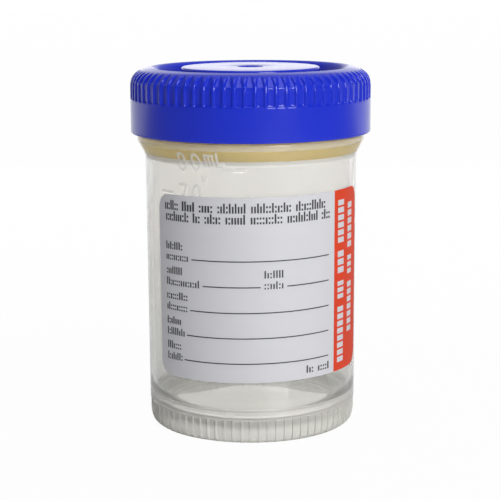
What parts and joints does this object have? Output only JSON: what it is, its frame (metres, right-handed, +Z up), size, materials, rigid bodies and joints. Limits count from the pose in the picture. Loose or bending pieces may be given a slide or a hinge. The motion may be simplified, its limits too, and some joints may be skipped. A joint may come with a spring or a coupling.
{
  "type": "specimen container",
  "caption": "Round straight-walled specimen container with a ribbed screw lid, a sealing sleeve under the lid and a wrap label on the wall.",
  "frame": {"origin": "centre of the foot, on the surface the container stands on", "axes": "+Z up the axis of cup and lid, the middle of the label towards -Y"},
  "size_m": [0.052, 0.052, 0.078],
  "materials": {
    "cup_plastic": "translucent satin polypropylene",
    "lid_plastic": "glossy moulded polypropylene",
    "seal_rubber": "smooth pale yellow elastomer",
    "label_stock": "satin film label",
    "orange_ink": "printed ink",
    "black_ink": "printed ink"
  },
  "bodies": {
    "cup": {"cup": "cup_plastic", "label": "label_stock", "orange_print": "orange_ink", "black_print": "black_ink"},
    "seal": {"seal": "seal_rubber"},
    "lid": {"lid": "lid_plastic"}
  },
  "joints": [
    {"name": "lid_lift", "type": "slide", "parent": "cup", "child": "seal", "axis": [0, 0, 1], "range_m": [0, 0.01693]},
    {"name": "lid_turn", "type": "hinge", "parent": "seal", "child": "lid", "pos_m": [0, 0, 0.0713], "axis": [0, 0, 1], "range_deg": [0, 1440]}
  ],
  "couplings": [
    {"joint": "lid_turn", "follows": "lid_lift", "rad_per_m": 1484.2}
  ]
}
